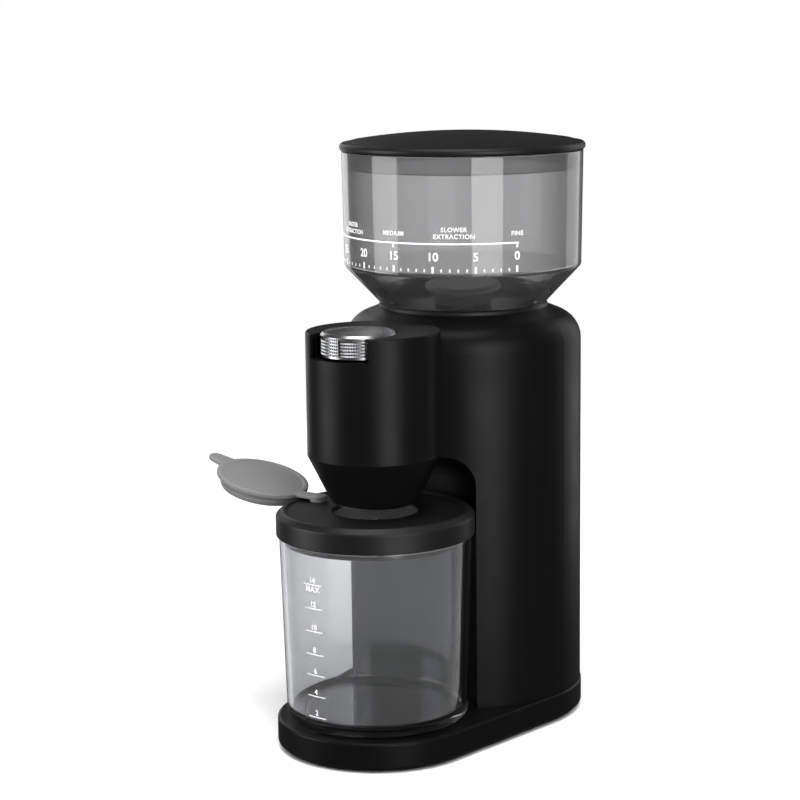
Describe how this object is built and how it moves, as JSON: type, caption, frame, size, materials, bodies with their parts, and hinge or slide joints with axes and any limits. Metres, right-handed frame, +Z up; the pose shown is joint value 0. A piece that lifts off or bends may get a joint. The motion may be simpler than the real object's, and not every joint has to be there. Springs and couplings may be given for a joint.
{
  "type": "burr coffee grinder",
  "caption": "Electric conical burr grinder: clear bean hopper that turns to set the grind, chute head with a press-and-turn dial, and a lidded grounds container on the base.",
  "frame": {"origin": "on the table under the burr axis, inside the ring-shaped foot", "axes": "+Z up, -Y towards the front where the container is pulled out, +X to the right seen from the back"},
  "size_m": [0.1905, 0.2192, 0.3424],
  "materials": {
    "black_plastic": "satin",
    "clear_smoke": "polished, clear with a grey tint",
    "lid_black": "satin",
    "dial_chrome": "turned, bright",
    "silicone_grey": "matt",
    "burr_steel": "ground",
    "steel": "machined",
    "nylon_white": "moulded",
    "inner_plastic": "moulded",
    "rubber_black": "matt",
    "seal_clear": "matt",
    "zinc_screw": "zinc plated",
    "board_green": "printed circuit board",
    "magnet_dark": "sintered",
    "rotor_steel": "laminated",
    "bronze": "sintered"
  },
  "bodies": {
    "casing": {"body_shell": "black_plastic", "base": "black_plastic", "bottom_cover": "inner_plastic", "foot_ring": "rubber_black", "front_feet": "rubber_black", "cover_screws": "zinc_screw", "shell_screws": "zinc_screw", "cord_gland": "rubber_black", "head_cap": "black_plastic", "encoder_body": "inner_plastic", "dial_board": "board_green", "board_screws": "zinc_screw", "hopper_collar": "lid_black", "collar_screws": "zinc_screw", "grinding_chamber": "inner_plastic", "neck_seal": "seal_clear", "interlock_pin": "nylon_white", "interlock_switch": "inner_plastic", "shaft_bearings": "steel", "grounds_duct": "inner_plastic", "gearcase": "inner_plastic", "gearcase_cover": "inner_plastic", "layshaft_pin": "steel", "motor_can": "steel", "motor_end_plate": "steel", "motor_bushes": "bronze", "magnets": "magnet_dark", "motor_mounts": "rubber_black", "frame_posts": "inner_plastic", "control_board": "board_green", "board_parts": "inner_plastic", "board_rails": "inner_plastic"},
    "hopper": {"hopper": "clear_smoke", "bean_guard": "lid_black"},
    "lid": {"hopper_lid": "lid_black", "lid_skirt": "clear_smoke"},
    "carrier": {"burr_carrier": "inner_plastic", "ring_burr": "burr_steel", "ring_burr_screws": "zinc_screw"},
    "burr": {"cone_burr": "burr_steel", "drive_shaft": "steel", "burr_nut": "zinc_screw", "sweeper": "nylon_white", "output_gear": "nylon_white"},
    "layshaft": {"layshaft_gear": "nylon_white"},
    "rotor": {"rotor": "rotor_steel", "motor_shaft": "steel", "cooling_fan": "inner_plastic", "motor_pinion": "steel"},
    "encoder": {"encoder_sleeve": "bronze"},
    "dial": {"dial_knob": "dial_chrome", "encoder_shaft": "steel"},
    "container": {"container": "clear_smoke", "container_lid": "lid_black", "container_seal": "seal_clear"},
    "cap": {"spout_cap": "silicone_grey"}
  },
  "joints": [
    {"name": "hopper_turn", "type": "hinge", "parent": "casing", "child": "hopper", "pos_m": [0, 0, 0.2396], "axis": [0, 0, 1], "range_deg": [-59.2, 59.2]},
    {"name": "lid_lift", "type": "slide", "parent": "hopper", "child": "lid", "axis": [0, 0, 1], "range_m": [0, 0.09]},
    {"name": "grind_setting", "type": "slide", "parent": "hopper", "child": "carrier", "axis": [0, 0, 1], "range_m": [-0.0005, 0.0005]},
    {"name": "burr_spin", "type": "hinge", "parent": "casing", "child": "burr", "pos_m": [0, 0, 0.1815], "axis": [0, 0, 1], "continuous": true},
    {"name": "layshaft_spin", "type": "hinge", "parent": "casing", "child": "layshaft", "pos_m": [0, 0.032, 0.121], "axis": [0, 0, 1], "continuous": true},
    {"name": "motor_spin", "type": "hinge", "parent": "casing", "child": "rotor", "pos_m": [0, 0, 0.0685], "axis": [0, 0, 1], "continuous": true},
    {"name": "dial_turn", "type": "hinge", "parent": "casing", "child": "encoder", "pos_m": [0, -0.1048, 0.2202], "axis": [0, 0, 1], "continuous": true},
    {"name": "dial_press", "type": "slide", "parent": "encoder", "child": "dial", "axis": [0, 0, 1], "range_m": [-0.001, 0], "stiffness_N_per_m": 2000, "springref_m": 0.0005},
    {"name": "container_slide", "type": "slide", "parent": "casing", "child": "container", "axis": [0, -1, 0], "range_m": [0, 0.16]},
    {"name": "cap_swivel", "type": "hinge", "parent": "container", "child": "cap", "pos_m": [-0.0398, -0.0912, 0.137], "axis": [0, 0, 1], "range_deg": [-12, 12]}
  ],
  "couplings": [
    {"joint": "grind_setting", "follows": "hopper_turn", "m_per_rad": 0.00047746},
    {"joint": "layshaft_spin", "follows": "burr_spin", "ratio": -3},
    {"joint": "motor_spin", "follows": "burr_spin", "ratio": 10.714}
  ]
}
